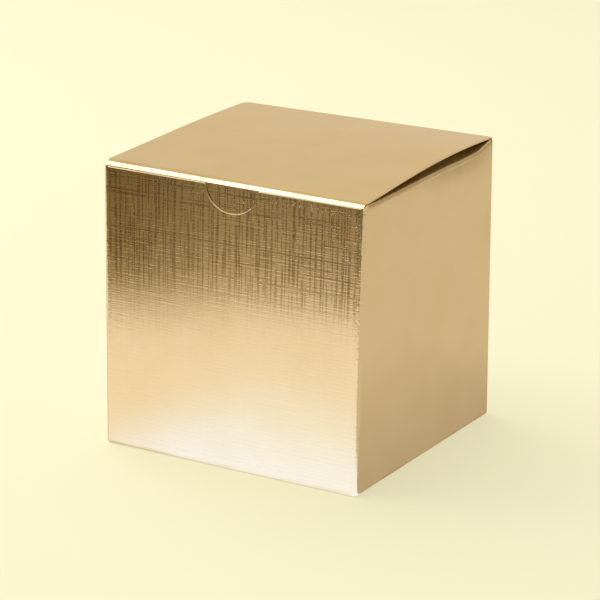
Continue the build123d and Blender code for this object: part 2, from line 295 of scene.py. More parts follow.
def board_sheet(
    name, near, far, place, cut=(), rows=40, spread=1.0, thickness=board,
    foil=linen_gold, inside=white_inside, edge=cut_core, shade_foiled_columns=None,
):
    """A closed sheet of board between two matching edges of the flat blank.

    near and far hold points of the blank, pair by pair, as distances across and up it. Each pair is joined
    by a straight column with a lip-wide step at both ends; the steps between are even, or a power of even
    steps when spread is not 1. place(u, v, depth) folds blank points into the box, depth under the foil.
    The outer face is the grid at depth 0, the inner face the grid at full depth, and a rim joins their
    borders. On the sides named in cut the outer border sinks by the lip's depth. Along the far edge, the
    marked columns keep foil on the lip and the rim instead of the edge finish: painted shade.
    """
    near, far = on_blank(*near), on_blank(*far)
    lip = LIP_WIDTH / np.linalg.norm(far - near, axis=1)[:, None]
    even = lip + (1 - 2 * lip) * np.linspace(0, 1, rows) ** spread
    share = np.concatenate([0 * lip, even, 0 * lip + 1], axis=1)[..., None]
    blank = near[:, None] * (1 - share) + far[:, None] * share
    columns, points = blank.shape[:2]
    sides = {"near": np.s_[:, 0], "far": np.s_[:, -1], "first": np.s_[0, :], "last": np.s_[-1, :]}
    sunk = np.zeros((columns, points))
    index = np.arange(columns * points).reshape(columns, points)
    quads = np.stack([index[:-1, :-1], index[1:, :-1], index[1:, 1:], index[:-1, 1:]], -1)
    finish = np.zeros(quads.shape[:2], int)
    for side in cut:
        sunk[sides[side]] = LIP_DEPTH
        finish[sides[side]] = 2
    rim_finish = np.full(2 * (columns + points - 2), 2)
    # The marked columns keep foil on the lip and rim instead of the edge finish: painted shade.
    if shade_foiled_columns is not None:
        finish[shade_foiled_columns, -1] = 0
        rim_finish[columns + points - 2:][np.flatnonzero(shade_foiled_columns[::-1])] = 0
    u, v = blank[..., 0], blank[..., 1]
    outer, inner = place(u, v, sunk), place(u, v, np.full_like(u, thickness))
    spots = racked(np.concatenate([outer.reshape(-1, 3), inner.reshape(-1, 3)])) * MM

    quads = quads.reshape(-1, 4)
    border = np.concatenate([index[:-1, 0], index[-1, :-1], index[:0:-1, -1], index[0, :0:-1]])
    after = np.roll(border, -1)
    rim = np.stack([after, border, border + columns * points, after + columns * points], -1)
    faces = np.concatenate([quads, quads[:, ::-1] + columns * points, rim])
    step_i, step_j = blank[1, 0] - blank[0, 0], blank[0, 1] - blank[0, 0]
    if step_i[0] * step_j[1] - step_i[1] * step_j[0] < 0:
        faces = faces[:, ::-1]
    finishes = np.concatenate([finish.ravel(), np.full(len(quads), 1), rim_finish])

    mesh = bpy.data.meshes.new(name)
    mesh.from_pydata(spots.tolist(), [], faces.tolist())
    mesh.polygons.foreach_set("material_index", finishes.astype(np.int32))
    flat = np.concatenate([blank.reshape(-1, 2)] * 2)
    mesh.uv_layers.new(name="board_mm").data.foreach_set("uv", flat[faces.ravel()].ravel())
    for material in (foil, inside, edge):
        mesh.materials.append(material)
    mesh.shade_smooth()
    mesh.set_sharp_from_angle(angle=SHARP_FOLD)
    mesh.update()
    return set_up(name, mesh)


# Flat strip that belongs to a crease at each side of its fold.
LAND = 0.25
NOTCH_RADIUS, NOTCH_LIP_RADIUS, NOTCH_DEPTH = 10.0, 0.8, 9.2
EDGE_SKEW, EDGE_DROP = 0.009, 0.15
front_x, front_top = front_high[0], front_high[2]


def notch_edge():
    """Top edge of the front wall from left to right: straight, lip arc, half circle, lip arc, straight.

    A lip arc touches the straight edge from below and the half circle from outside, so its centre is one
    lip radius below the edge and the sum of both radii from the notch's centre. The heights are then
    scaled to the notch's depth, and the edge is skewed: it drops evenly from left to right.
    """
    reach = NOTCH_RADIUS + NOTCH_LIP_RADIUS
    lip_x = np.sqrt(reach**2 - NOTCH_LIP_RADIUS**2)
    tilt = np.arcsin(NOTCH_LIP_RADIUS / reach)
    straight = lipped(front_x - LAND, lip_x, 24)[:-1]
    turn = np.linspace(np.pi / 2, np.pi - tilt, 7)
    sweep = np.linspace(-tilt, -np.pi / 2, 22)[1:]
    half = np.concatenate([
        on_blank(straight, 0.0),
        on_blank(lip_x + NOTCH_LIP_RADIUS * np.cos(turn), NOTCH_LIP_RADIUS * (np.sin(turn) - 1)),
        NOTCH_RADIUS * on_blank(np.cos(sweep), np.sin(sweep)),
    ])
    half = half * (1, NOTCH_DEPTH / NOTCH_RADIUS)
    across, up = np.concatenate([half * (-1, 1), half[-2::-1]]).T
    return on_blank(across, up + front_top - EDGE_SKEW * across - EDGE_DROP)


def front_place(u, v, depth):
    """The front panel stands upright, foil towards the viewer."""
    return np.stack([u, front_low[1] + depth, v], -1)


front_edge = notch_edge()
# The notch's steep sides keep foil on their cut edge instead of the cream core: painted shade.
edge_step = np.abs(np.diff(front_edge, axis=0))
front_wall = board_sheet(
    "front_panel", (front_edge[:, 0], front_low[2] + LAND), front_edge.T,
    front_place, cut=("far",), rows=44, shade_foiled_columns=edge_step[:, 1] > edge_step[:, 0],
)
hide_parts("front_wall")
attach(front_wall, "carton")

# Right and left walls: the next panels of the blank, joined to the front wall by the upright creases.
# Their top folds carry the dust flaps. Folding in the flaps has drawn the tops inwards a little, except at
# the corners, where the creases hold them up.
right_low, right_high = corners("right_wall")
left_low, left_high = corners("left_wall")
corner_low, corner_high = corners("front_right_crease")
corner_radius = corner_high[0] - corner_low[0]
corner_run = corner_radius * np.pi / 2
side_u = front_x + corner_run
side_top = right_high[2]
SETTLE_IN, SETTLE_REACH = 0.75, 11.0
HUMP_RISE, HUMP_FALL, HUMP_PEAK = 1.2, 0.7, 0.43
FRONT_PEAK, FRONT_DECAY, FRONT_REST = 0.45, 0.05, 0.63
BACK_PEAK, BACK_REACH, BACK_POWER = 1.9, 0.1, 1.15
DIP_DEPTH, DIP_SHARE, DIP_WIDTH = 0.35, 0.8, 0.16


def settle(y):
    """How far a side's top fold is drawn in, and how far it stands up, along the fold from front to back.

    The drawing in is a skewed hump that is nought at both ends and greatest towards the back. The
    standing up falls off from the front corner, fast and then slowly, dips towards the back, and climbs
    to the back corner.
    """
    share = np.clip((y - right_low[1]) / (right_high[1] - right_low[1]), 0, 1)
    inward = SETTLE_IN * share**HUMP_RISE * (1 - share) ** HUMP_FALL / HUMP_PEAK
    front = FRONT_PEAK * np.exp(-share / FRONT_DECAY) + FRONT_REST * (1 - share) ** 2
    back = BACK_PEAK * np.clip((share - 1 + BACK_REACH) / BACK_REACH, 0, 1) ** BACK_POWER
    dip = DIP_DEPTH * np.exp(-(((share - DIP_SHARE) / DIP_WIDTH) ** 2))
    return inward, front + back - dip


def side_place(u, v, depth):
    """The right panel stands upright, with its top eased in and up by the settled fold."""
    y = right_low[1] + u - side_u
    inward, upward = settle(y)
    share = np.clip((v - side_top + SETTLE_REACH) / SETTLE_REACH, 0, 1)
    return np.stack([right_high[0] - depth - inward * share**2, y, v + upward * share**2], -1)


def handed(place, hand):
    """A fold as it is on the right of the blank, or with hand -1 the same fold on the left."""
    return lambda u, v, depth: place(hand * u, v, depth) * (hand, 1, 1)


for hand, word, low, high in ((1, "right", right_low, right_high), (-1, "left", left_low, left_high)):
    across = hand * lipped(side_u + LAND, side_u + (high[1] - low[1]) - LAND, 44)
    wall = board_sheet(
        word + "_panel", (across, right_low[2] + LAND), (across, side_top - LAND),
        handed(side_place, hand), rows=48, foil=calm_gold,
    )
    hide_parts(word + "_wall")
    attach(wall, "carton")

# Back wall: the last panel of the blank. Its left end is a cut edge that lies over the glue flap and makes
# the seam at the back left corner. The lid goes on from its top fold.
back_low, back_high = corners("back_wall")
back_u = side_u + right_high[1] - right_low[1] + corner_run
back_middle = back_u + front_x
back_top = back_high[2]


def back_x(u):
    """Place across the box of a point of the blank behind it, where the blank runs from right to left."""
    return back_high[0] - (u - back_u)


def back_place(u, v, depth):
    """The back panel stands upright, foil towards the back."""
    return np.stack([back_x(u), back_high[1] - depth, v], -1)


back_across = lipped(back_u + LAND, back_u + back_high[0] - back_low[0], 48)
back_wall = board_sheet(
    "back_panel", (back_across, back_low[2] + LAND), (back_across, back_top - LAND),
    back_place, cut=("last",), rows=48, foil=calm_gold,
)
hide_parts("back_wall")
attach(back_wall, "carton")

# Upright creases: the board is scored and folded a quarter turn between the walls. The linen runs on over
# the fold, and each foot is pressed in where the bottom panels fold under. The tops stand up to the lid,
# except at the back, where it swings.
seam_low = corners("glue_flap_crease")[0]
seam_u = side_u + seam_low[1] - right_low[1]
foot_radius = front_low[2]
CREASE_STEPS = 14
FOLD_SPARE = 0.05
FRONT_LIFT = (0.1, 2.2)
CORNER_LIFT, LIFT_END = 3.0, (0.13, 0.25)
SEAM_LIFT = 1.0


def bent(run, depth, start, heading, land, radius, turn):
    """Section of a folded strip, as two coordinates.

    From start the strip runs straight for land, then round an arc of the foil's radius through turn
    degrees, then straight on. run is the distance along the foil, and depth goes from the foil to the
    arc's centre.
    """
    side, first, swept = np.sign(turn), np.radians(heading), np.radians(abs(turn))

    def ahead(angle):
        return np.stack([np.cos(angle), np.sin(angle)], -1)

    def leftward(angle):
        return np.stack([-np.sin(angle), np.cos(angle)], -1)

    angle = first + side * np.clip((run - land) / radius, 0, swept)
    centre = np.array(start) + land * ahead(first) + side * radius * leftward(first)
    before = np.minimum(run - land, 0)[..., None] * ahead(first)
    beyond = np.maximum(run - land - radius * swept, 0)[..., None] * ahead(first + side * swept)
    section = centre + before + beyond + (side * (depth - radius))[..., None] * leftward(angle)
    return np.moveaxis(section, -1, 0)


def pressed_foot(v, depth):
    """Depth under the foil, with the foot drawn in along a quarter circle, short of the fold's centre."""
    up = np.clip(foot_radius - v, 0, foot_radius)
    return np.minimum(depth + foot_radius - np.sqrt(foot_radius**2 - up**2), corner_radius - FOLD_SPARE)


def corner_place(first_u, spot, heading):
    """Quarter turn from a wall, which ends at first_u on the blank and a spot in the box, to the next."""

    def place(u, v, depth):
        section = bent(u - first_u, pressed_foot(v, depth), spot, heading, 0, corner_radius, 90)
        return np.stack([*section, v], -1)

    return place


crease_across = lipped(-LAND, corner_run + LAND, CREASE_STEPS)
front_left_top, front_right_top = (
    np.interp(crease_across, [0, corner_run], [edge_top + FRONT_LIFT[0], side_top + FRONT_LIFT[1]])
    for edge_top in front_edge[[0, -1], 1]
)
back_right_top = np.interp(crease_across / corner_run, LIFT_END, [side_top + CORNER_LIFT, back_top])
seam_top = np.interp(crease_across, [0, corner_run], [side_top + SEAM_LIFT, back_top])
side_end_u, front_end = back_u - corner_run, (front_x, front_low[1])
for name, node, first_u, spot, heading, top, hand in (
    ("front_right_corner", "front_right_crease", front_x, front_end, 0, front_right_top, 1),
    ("front_left_corner", "front_left_crease", front_x, front_end, 0, front_left_top, -1),
    ("back_right_corner", "back_right_crease", side_end_u, right_high[:2], 90, back_right_top, 1),
    ("seam_corner", "glue_flap_crease", seam_u, (right_high[0], seam_low[1]), 90, seam_top, -1),
):
    across = hand * (first_u + crease_across)
    crease = board_sheet(
        name, (across, 0.0), (across, top), handed(corner_place(first_u, spot, heading), hand),
        rows=64, spread=2.0, edge=creased_gold,
    )
    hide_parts(node)
    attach(crease, "carton")

# Glue flap: a tapered strip folded from the left wall, glued under the back wall's seam. The glue is a thin
# pale film, rolled on as a band that stops short of the flap's edges.
flap_low, flap_high = corners("glue_flap")
glue_low, glue_high = corners("glue_line")
flap_u = seam_u + corner_run
FLAP_SLOPE = 0.6
FLAP_SIDES = ("near", "far", "last")
GLUE_INSET, GLUE_WAVE, GLUE_RIPPLE = 0.4, 0.35, 2.1


def glue_flap_place(u, v, depth):
    """The flap lies flat under the back wall; this is the right-hand form, used mirrored."""
    return np.stack([-flap_low[0] - (u - flap_u), flap_high[1] - depth, v], -1)


flap_across = lipped(flap_u + LAND, flap_u + flap_high[0] - flap_low[0], 12)
flap_taper = FLAP_SLOPE * (flap_across - flap_u)
glue_flap = board_sheet(
    "glue_flap_sheet",
    (-flap_across, flap_low[2] + flap_taper), (-flap_across, flap_high[2] - flap_taper),
    handed(glue_flap_place, -1), cut=FLAP_SIDES,
)
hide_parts("glue_flap")
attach(glue_flap, "carton")

glue_film = paper("glue_film", (0.80, 0.74, 0.56), (0.72, 0.64, 0.45), grain=3.0, rough=0.35)


def glue_place(u, v, depth):
    """The film fills the room between the flap and the back wall."""
    return np.stack([-u, glue_high[1] - depth, v], -1)


glue_across = np.linspace(-glue_high[0], -glue_low[0], 10)
glue_wave = GLUE_WAVE * np.sin(GLUE_RIPPLE * glue_across)
glue_band = board_sheet(
    "glue_band",
    (glue_across, glue_low[2] + GLUE_INSET + glue_wave),
    (glue_across, glue_high[2] - GLUE_INSET + glue_wave),
    glue_place, thickness=glue_high[1] - glue_low[1], foil=glue_film, inside=glue_film,
)
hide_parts("glue_line")
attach(glue_band, "carton")

# Snap-lock bottom: four panels folded in from the walls' feet, the front one lowest, the side ones on it
# and the back one on top. The front one's tongue comes up through the back one's slot and holds all.
base_low, base_high = corners("front_base_crease")
base_radius = base_high[2] - base_low[2]
base_run = base_radius * np.pi / 2
base_v = front_low[2] - base_run
front_panel_low, front_panel_high = corners("front_base_panel")
side_panel_low, side_panel_high = corners("right_base_panel")
back_panel_low, back_panel_high = corners("back_base_panel")
SHEET_GAP, PANEL_GAP, SLOT_GAP = 0.1, 0.5, 1.5
BASE_LAND, SHOULDER_SLOPE, SIDE_BACK_SLOPE = 1.0, 0.3, 0.35
SIDE_RAMP, BACK_RAMP, TONGUE_RAMP = 6.0, 8.0, 9.0
FRONT_REACH, TONGUE_CORNER, TONGUE_CORNER_START = 45.0, 5.0, 0.1
LEG_LENGTH, LEG_CORNER, LEG_SIDES = 20.0, 4.0, ("near", "first", "last")
RUN_STEP = 0.5
base_level = board + SHEET_GAP
tongue_start = front_low[1] + FRONT_REACH
foot_top = front_low[2] + LAND


def ramp(run, start, length, level):
    """Height of a base panel along its run: on the table, then an even climb to its level, then flat."""
    return level * np.clip((run - start) / length, 0, 1)


def foot_section(wall, v, depth, turn):
    """Section of a wall's foot: a quarter turn under the box, then straight on."""
    return bent(foot_top - v, depth, (wall, foot_top), 270, LAND, base_radius, turn)


def front_base_place(u, v, depth):
    """Front foot, then the panel and its tongue, which climbs over the others."""
    y, z = foot_section(front_low[1], v, depth, 90)
    return np.stack([u, y, z + ramp(y, tongue_start, TONGUE_RAMP, 3 * base_level)], -1)


def side_base_place(u, v, depth):
    """Right foot, then the panel, which climbs on to the front one."""
    x, z = foot_section(right_high[0], v, depth, -90)
    climb = ramp(side_panel_high[0] - x, BASE_LAND, SIDE_RAMP, base_level)
    return np.stack([x, right_low[1] + u - side_u, z + climb], -1)


def back_base_place(u, v, depth):
    """Back foot, then the panel, which climbs on to the side ones."""
    y, z = foot_section(back_high[1], v, depth, -90)
    climb = ramp(back_panel_high[1] - y, BASE_LAND, BACK_RAMP, 2 * base_level)
    return np.stack([back_x(u), y, z + climb], -1)


for word, ends, place in (
    ("front", (-front_x, front_x), front_base_place),
    ("right", (side_u, side_end_u), side_base_place),
    ("back", (back_u, back_u + 2 * front_x), back_base_place),
    ("left", (-seam_u, -side_u), handed(side_base_place, -1)),
):
    across = lipped(*ends, 24)
    crease = board_sheet(
        word + "_foot_fold", (across, foot_top - 2 * LAND - base_run), (across, foot_top),
        place, cut=("first", "last"), rows=CREASE_STEPS, foil=creased_gold,
    )
    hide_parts(word + "_base_crease")
    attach(crease, "carton")


def rounded_end(run, end, radius):
    """How much a panel's side draws in towards a rounded end: a quarter circle over the last radius."""
    share = np.clip((run - end + radius) / radius, 0, 1)
    return radius * (1 - np.sqrt(np.maximum(1 - share**2, 0)))


tongue_end = front_panel_high[1] - front_panel_low[1]
shoulder = tongue_start - front_panel_low[1]
tongue_half = side_panel_low[0] - PANEL_GAP
panel_half = front_x - PANEL_GAP
narrow_half = side_panel_high[0] - BASE_LAND - SIDE_RAMP - PANEL_GAP
tongue_turn = np.linspace(TONGUE_CORNER_START, np.pi / 2, 12)
front_runs = np.concatenate([
    lipped(LAND, shoulder - SHOULDER_SLOPE, 20),
    np.linspace(shoulder, shoulder + TONGUE_RAMP, 10),
    lipped(shoulder + TONGUE_RAMP + RUN_STEP, tongue_end - TONGUE_CORNER, 6),
    tongue_end - TONGUE_CORNER * (1 - np.sin(tongue_turn)),
])
before_shoulder = front_runs < shoulder - 0.5 * SHOULDER_SLOPE
front_half = np.where(before_shoulder, np.maximum(panel_half - front_runs, narrow_half), tongue_half)
front_half = front_half - rounded_end(front_runs, tongue_end, TONGUE_CORNER)

side_runs = lipped(LAND, side_panel_high[0] - side_panel_low[0], 24)
side_front_u = side_u + side_panel_low[1] - right_low[1] + side_runs
side_back_u = side_u + side_panel_high[1] - right_low[1] - SIDE_BACK_SLOPE * side_runs

leg_run = back_panel_high[1] - back_panel_low[1]
slot_run = leg_run - LEG_LENGTH
slot_half = tongue_half + SLOT_GAP
leg_curve = LEG_CORNER * (1 - np.sin(np.linspace(0, np.pi / 2, 10)))
half_across = np.concatenate([
    np.linspace(0, slot_half - SHOULDER_SLOPE, 14),
    slot_half + leg_curve[::-1],
    np.linspace(slot_half + LEG_CORNER + RUN_STEP, panel_half - LEG_CORNER - RUN_STEP, 8),
    panel_half - leg_curve,
])
in_slot = half_across < slot_half - 0.5 * SHOULDER_SLOPE
past_leg_edge = np.maximum(slot_half - half_across, half_across - panel_half)
half_run = np.where(in_slot, slot_run, leg_run - rounded_end(past_leg_edge, 0, LEG_CORNER))
leg_across = back_middle + np.concatenate([-half_across[:0:-1], half_across])
leg_runs = np.concatenate([half_run[:0:-1], half_run])

front_v, side_v = base_v - front_runs, base_v - side_runs
for word, near, far, place, cut in (
    ("front", (-front_half, front_v), (front_half, front_v), front_base_place, FLAP_SIDES),
    ("right", (side_front_u, side_v), (side_back_u, side_v), side_base_place, FLAP_SIDES),
    ("left", (-side_front_u, side_v), (-side_back_u, side_v), handed(side_base_place, -1), FLAP_SIDES),
    ("back", (leg_across, base_v - leg_runs), (leg_across, base_v - LAND), back_base_place, LEG_SIDES),
):
    panel = board_sheet(word + "_base_sheet", near, far, place, cut)
    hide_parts(word + "_base_panel")
    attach(panel, "carton")

# Dust flaps: wings folded in from the side walls, with rounded corners and slanted back edges. Each rises a
# little from its fold to its tip, just under the lid.
dust_flap_low, dust_flap_high = corners("right_dust_flap")
DUST_RADIUS, DUST_AXIS_Z = 1.2, 98.3
DUST_LENGTH, DUST_RISE = 38.0, 2.413
DUST_FRONT_SLOPE, DUST_BACK_SLOPE = 0.08, 0.6
DUST_CORNER, FLAP_CORNER_START = 7.0, 0.08
DUST_MIDDLE = 46.0
SETTLE_FADE = 12.0
dust_leg = DUST_AXIS_Z - side_top
dust_turn = 90 - DUST_RISE
dust_run = DUST_RADIUS * np.radians(dust_turn)
dust_v = side_top + dust_leg + dust_run


def dust_place(u, v, depth):
    """Right top fold and its flap: up the wall, a turn of not quite a quarter, then on under the lid.

    The settled fold's shift goes with it and fades out along the first part of the flap.
    """
    start = (right_high[0], side_top - LAND)
    x, z = bent(v - start[1], depth, start, 90, LAND + dust_leg, DUST_RADIUS, dust_turn)
    y = right_low[1] + u - side_u
    inward, upward = settle(y)
    fade = np.clip(1 - (v - dust_v) / SETTLE_FADE, 0, 1) ** 2
    return np.stack([x - inward * fade, y, z + upward * fade], -1)


def fold_ends(place, u, low, high):
    """Where the inner face of a fold starts and ends, in metres."""
    return [place(u, up, board) * MM for up in (low, high)]


dust_runs = np.concatenate([
    lipped(LAND, DUST_LENGTH - DUST_CORNER, 26),
    DUST_LENGTH - DUST_CORNER * (1 - np.sin(np.linspace(FLAP_CORNER_START, np.pi / 2, 14))),
])
tip_round = rounded_end(dust_runs, DUST_LENGTH, DUST_CORNER)
dust_front_u = side_u + dust_flap_low[1] - right_low[1] + DUST_FRONT_SLOPE * dust_runs + tip_round
dust_back_u = side_u + dust_flap_high[1] - right_low[1] - DUST_BACK_SLOPE * dust_runs - tip_round
for hand, word, last_u in ((1, "right", side_end_u), (-1, "left", seam_u)):
    place = handed(dust_place, hand)
    across = hand * lipped(side_u, last_u, 60)
    crease = board_sheet(
        word + "_dust_fold", (across, side_top - LAND), (across, dust_v + LAND),
        place, rows=CREASE_STEPS, foil=creased_gold, edge=creased_gold,
    )
    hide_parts(word + "_dust_crease")
    ends = fold_ends(place, hand * (side_u + DUST_MIDDLE), side_top - LAND, dust_v + LAND)
    tuple(ends[0])
    tuple(ends[1])
    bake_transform(crease)

    flap = board_sheet(
        word + "_dust_sheet",
        (hand * dust_front_u, dust_v + dust_runs), (hand * dust_back_u, dust_v + dust_runs),
        place, cut=FLAP_SIDES, rows=44, foil=calm_gold,
    )
    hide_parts(word + "_dust_flap")
    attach(flap, word + "_dust")

# Lid: goes on from the back wall over a scored fold. Its board springs up a little between the folds, most
# at the right side towards the back, so that a dark gap shows over the right dust flap.
lid_low, lid_high = corners("lid_panel")
LID_RADIUS, LID_STEPS = 1.2, 20
lid_axis_z = lid_high[2] - LID_RADIUS
lid_run = LID_RADIUS * np.pi / 2
hinge_leg = lid_axis_z - back_top
lid_v = back_top + hinge_leg + lid_run
lid_length = lid_high[1] - lid_low[1]
CROWN, CROWN_TO_RIGHT = 0.95, 0.42
CROWN_RISE, CROWN_FALL, CROWN_PEAK = 1.1, 1.7, 0.1532
REAR_CORNER, REAR_RIGHT = 3.0, 49.35
FRONT_TILT, FRONT_LEVEL, FRONT_POWER = 0.0145, -24.0, 7
ROLL_HALF, FRONT_TAPER = 49.3, 12.0


def hinge_place(u, v, depth):
    """Lid fold: up the back wall, then a quarter turn forwards."""
    start = (back_high[1], back_top - LAND)
    section = bent(v - start[1], depth, start, 90, LAND + hinge_leg, LID_RADIUS, 90)
    return np.stack([back_x(u), *section], -1)


def front_drop(x):
    """How far the front of the lid lies low: it slopes evenly, up at the left and down at the right."""
    return FRONT_TILT * (x - FRONT_LEVEL)


def lid_place(u, v, depth):
    """Lid panel, crowned between its folds.

    The crown along the lid is a power of the distance from the back times a higher power of the distance
    from the front, so it peaks nearer the back; across the lid it grows evenly to the right. The slope of
    the front edge fades in with a high power of the distance from the back.
    """
    x, y = back_x(u), lid_high[1] - (v - lid_v)
    share = np.clip((v - lid_v) / lid_length, 0, 1)
    hump = share**CROWN_RISE * (1 - share) ** CROWN_FALL / CROWN_PEAK
    crown = (CROWN + CROWN_TO_RIGHT * x / lid_high[0]) * hump
    return np.stack([x, y, lid_high[2] - depth + crown - front_drop(x) * share**FRONT_POWER], -1)


hinge_across = lipped(back_middle - REAR_RIGHT, back_u + 2 * front_x, 40)
hinge = board_sheet(
    "lid_fold", (hinge_across, back_top - LAND), (hinge_across, lid_v + LAND),
    hinge_place, cut=("first", "last"), rows=LID_STEPS, foil=creased_gold,
)
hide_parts("lid_crease")
hinge_foot = hinge_place(back_middle, back_top - LAND, 0.5 * board)
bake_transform(hinge)

lid_runs = lipped(LAND, lid_length - LAND, 56)
rear_share = np.clip(lid_runs / REAR_CORNER, 0, 1)
right_half = REAR_RIGHT + (lid_high[0] - REAR_RIGHT) * rear_share
left_half = front_x + (lid_high[0] - front_x) * np.sqrt(1 - (1 - rear_share) ** 2)
front_share = np.clip(1 - (lid_length - lid_runs) / FRONT_TAPER, 0, 1)
front_inset = (lid_high[0] - ROLL_HALF) * front_share
lid = board_sheet(
    "lid_sheet",
    (back_middle - (right_half - front_inset), lid_v + lid_runs),
    (back_middle + (left_half - front_inset), lid_v + lid_runs),
    lid_place, rows=60, foil=calm_gold, edge=creased_gold,
)
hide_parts("lid_panel")
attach(lid, "lid")

# Tuck: the lid's front edge is rolled round rather than scored, and the flap below it goes down behind the
# front wall. The flap hangs straight where the notch shows it, and its lower part curls inwards.
TUCK_RADIUS, TUCK_LENGTH, TUCK_HALF, TUCK_CORNER = 2.0, 20.0, 48.0, 8.0
TUCK_STRAIGHT, TUCK_CURL_RADIUS = 10.5, 24.0
ROLL_SLANT = 0.8
tuck_run = TUCK_RADIUS * np.pi / 2
tuck_v = lid_v + lid_length
flap_v = tuck_v + tuck_run


def sloped(u, section):
    """A section of the lid's front, set across the box and lowered by the front's slope."""
    x, (y, z) = back_x(u), section
    return np.stack([x, y, z - front_drop(x)], -1)


def roll_place(u, v, depth):
    """Rolled front: a quarter turn down from the lid."""
    start = (lid_low[1] + LAND, lid_high[2])
    return sloped(u, bent(v - tuck_v + LAND, depth, start, 180, LAND, TUCK_RADIUS, 90))


def tuck_place(u, v, depth):
    """Tuck flap: straight down behind the front wall, then curling in along a wide arc."""
    start = (lid_low[1] - TUCK_RADIUS, lid_high[2] - TUCK_RADIUS)
    curl = np.degrees((TUCK_LENGTH - TUCK_STRAIGHT) / TUCK_CURL_RADIUS)
    return sloped(u, bent(v - flap_v, depth, start, 270, TUCK_STRAIGHT, TUCK_CURL_RADIUS, curl))


roll_across = lipped(back_middle - ROLL_HALF, back_middle + ROLL_HALF, 60)
roll_foot = back_middle + (roll_across - back_middle) * (1 - ROLL_SLANT / ROLL_HALF)
roll = board_sheet(
    "rolled_front", (roll_across, tuck_v - LAND), (roll_foot, flap_v + LAND),
    roll_place, rows=LID_STEPS, foil=creased_gold, edge=creased_gold,
)
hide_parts("tuck_crease")
roll_ends = fold_ends(roll_place, back_middle, tuck_v - LAND, flap_v + LAND)
tuple(roll_ends[0])
tuple(roll_ends[1])
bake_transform(roll)

tuck_runs = np.concatenate([
    lipped(LAND, TUCK_LENGTH - TUCK_CORNER, 14),
    TUCK_LENGTH - TUCK_CORNER * (1 - np.sin(np.linspace(FLAP_CORNER_START, np.pi / 2, 16))),
])
tuck_half = TUCK_HALF - rounded_end(tuck_runs, TUCK_LENGTH, TUCK_CORNER)
tuck = board_sheet(
    "tuck_sheet",
    (back_middle - tuck_half, flap_v + tuck_runs), (back_middle + tuck_half, flap_v + tuck_runs),
    tuck_place, cut=FLAP_SIDES, rows=64, foil=tuck_gold,
)
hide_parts("tuck_flap")
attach(tuck, "tuck")

# Studio floor: a plain pale cream sweep under the box. It takes the box's shadow; more than half of what
# the camera sees of it is even light, so the ground stays pale.
FLOOR_TONE, FLOOR_ALBEDO = (1.0, 0.955, 0.652), (0.90, 0.86, 0.587)
FLOOR_REACH, EVEN_SHARE = 6.0, 0.6
DISC_RINGS, DISC_SPOKES, DISC_HOLE = 40, 64, 0.001


def ring_plane(name, reach, height):
    """A flat disc as rings of quads, closer towards the middle, round a hole closed by its own face."""
    radius = reach * np.linspace(0, 1, DISC_RINGS) ** 2 + DISC_HOLE
    angle = np.linspace(0, 2 * np.pi, DISC_SPOKES, endpoint=False)
    x, y = radius[:, None] * np.cos(angle), radius[:, None] * np.sin(angle)
    spots = np.stack([x, y, np.full_like(x, height)], -1).reshape(-1, 3)
    index = np.arange(DISC_RINGS * DISC_SPOKES).reshape(DISC_RINGS, DISC_SPOKES)
    following = np.roll(index, -1, axis=1)
    quads = np.stack([index[:-1], index[1:], following[1:], following[:-1]], -1).reshape(-1, 4)
    mesh = bpy.data.meshes.new(name)
    mesh.from_pydata(spots.tolist(), [], quads.tolist() + [index[0].tolist()])
    mesh.update()
    return set_up(name, mesh)


def stage_finish(name):
    """Empty node material with only its output."""
    finish, tree = new_finish(name)[:2]
    tree.nodes.clear()
    return finish, tree, add_node(tree, "OutputMaterial")


def seen_directly(tree):
    """1 for rays from the camera, from a mirror-like surface or through a clear one, else 0."""
    path = add_node(tree, "LightPath")
    seen = math_node(tree, "MAXIMUM", path.outputs["Is Camera Ray"], path.outputs["Is Glossy Ray"])
    return math_node(tree, "MAXIMUM", seen, path.outputs["Is Transmission Ray"])


floor = ring_plane("floor", FLOOR_REACH, 0.0)
pale_floor, tree, output = stage_finish("pale_floor")
matt = add_node(tree, "BsdfDiffuse", {"Color": (*FLOOR_ALBEDO, 1.0)})
even = add_node(tree, "Emission", {"Color": (*FLOOR_TONE, 1.0), "Strength": 1.0})
even_share = product(tree, seen_directly(tree), EVEN_SHARE)
mixed = add_node(tree, "MixShader", {0: even_share, 1: matt.outputs[0], 2: even.outputs[0]})
feed(tree, output, {"Surface": mixed.outputs[0]})
floor.data.materials.append(pale_floor)

